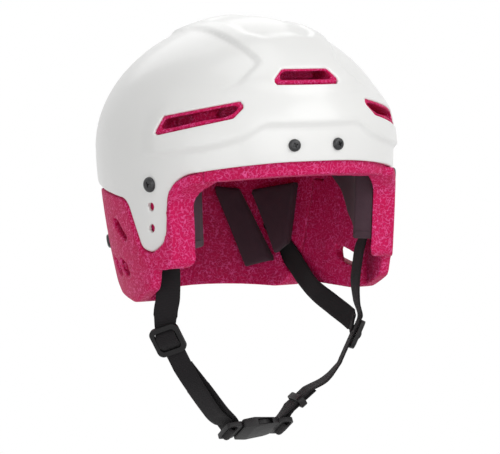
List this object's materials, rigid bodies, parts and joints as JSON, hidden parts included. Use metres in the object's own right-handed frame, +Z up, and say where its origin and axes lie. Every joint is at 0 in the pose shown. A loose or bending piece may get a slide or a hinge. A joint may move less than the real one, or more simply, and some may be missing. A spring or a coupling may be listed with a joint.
{
  "type": "multi-sport helmet",
  "caption": "Youth multi-sport helmet: hard shell over moulded foam, comfort pads, sliding rear section, webbing chin harness with side-release buckle.",
  "frame": {"origin": "middle of the head opening at the height of the brow edge", "axes": "front towards -Y, +X towards the wearer's left, +Z up"},
  "size_m": [0.1956, 0.235, 0.286],
  "materials": {
    "shell_white": "gloss",
    "foam_pink": "matte beaded foam skin",
    "pad_charcoal": "matte foam pad",
    "webbing_black": "woven webbing",
    "plastic_black": "satin",
    "hardware_black": "black oxide"
  },
  "bodies": {
    "helmet": {"main_shell": "shell_white", "crown_liner": "foam_pink", "brow_strip": "foam_pink", "side_liner_left": "foam_pink", "side_liner_right": "foam_pink", "brow_pad": "pad_charcoal", "crown_pad": "pad_charcoal", "temple_pad_left": "pad_charcoal", "temple_pad_right": "pad_charcoal", "front_screws": "hardware_black", "front_t_nuts": "hardware_black", "ear_screws": "hardware_black", "ear_t_nuts": "hardware_black", "ear_anchor_plates": "hardware_black", "front_strap_left": "webbing_black", "front_strap_right": "webbing_black", "buckle_socket": "plastic_black", "buckle_plug": "plastic_black"},
    "rear_section": {"rear_shell": "shell_white", "rear_liner": "foam_pink", "nape_pad_left": "pad_charcoal", "nape_pad_right": "pad_charcoal", "rear_side_pad_left": "pad_charcoal", "rear_side_pad_right": "pad_charcoal", "rear_screws": "hardware_black", "rear_t_nuts": "hardware_black", "rear_strap_left": "webbing_black", "rear_strap_right": "webbing_black"},
    "slider_left": {"strap_slider_left": "plastic_black"},
    "slider_right": {"strap_slider_right": "plastic_black"},
    "keeper": {"strap_keeper": "plastic_black"},
    "prong_front": {"buckle_prong_front": "plastic_black"},
    "prong_rear": {"buckle_prong_rear": "plastic_black"}
  },
  "joints": [
    {"name": "size_slide", "type": "slide", "parent": "helmet", "child": "rear_section", "axis": [0, 1, 0], "range_m": [0, 0.01], "deforming": ["rear_strap_left", "rear_strap_right"]},
    {"name": "slider_left_slide", "type": "slide", "parent": "helmet", "child": "slider_left", "axis": [-0.4512, 0, -0.8924], "range_m": [0, 0.008]},
    {"name": "slider_right_slide", "type": "slide", "parent": "helmet", "child": "slider_right", "axis": [0.4512, 0, -0.8924], "range_m": [0, 0.008]},
    {"name": "keeper_slide", "type": "slide", "parent": "helmet", "child": "keeper", "axis": [-0.7911, 0.03, -0.6109], "range_m": [-0.004, 0.004]},
    {"name": "prong_front_flex", "type": "hinge", "parent": "helmet", "child": "prong_front", "pos_m": [-0.018, -0.03704, -0.1885], "axis": [0, 0.2079, 0.9781], "range_deg": [0, 7], "stiffness_Nm_per_rad": 0.02},
    {"name": "prong_rear_flex", "type": "hinge", "parent": "helmet", "child": "prong_rear", "pos_m": [-0.018, -0.02296, -0.1915], "axis": [0, 0.2079, 0.9781], "range_deg": [-7, 0], "stiffness_Nm_per_rad": 0.02}
  ],
  "couplings": [
    {"joint": "prong_rear_flex", "follows": "prong_front_flex", "ratio": -1}
  ]
}
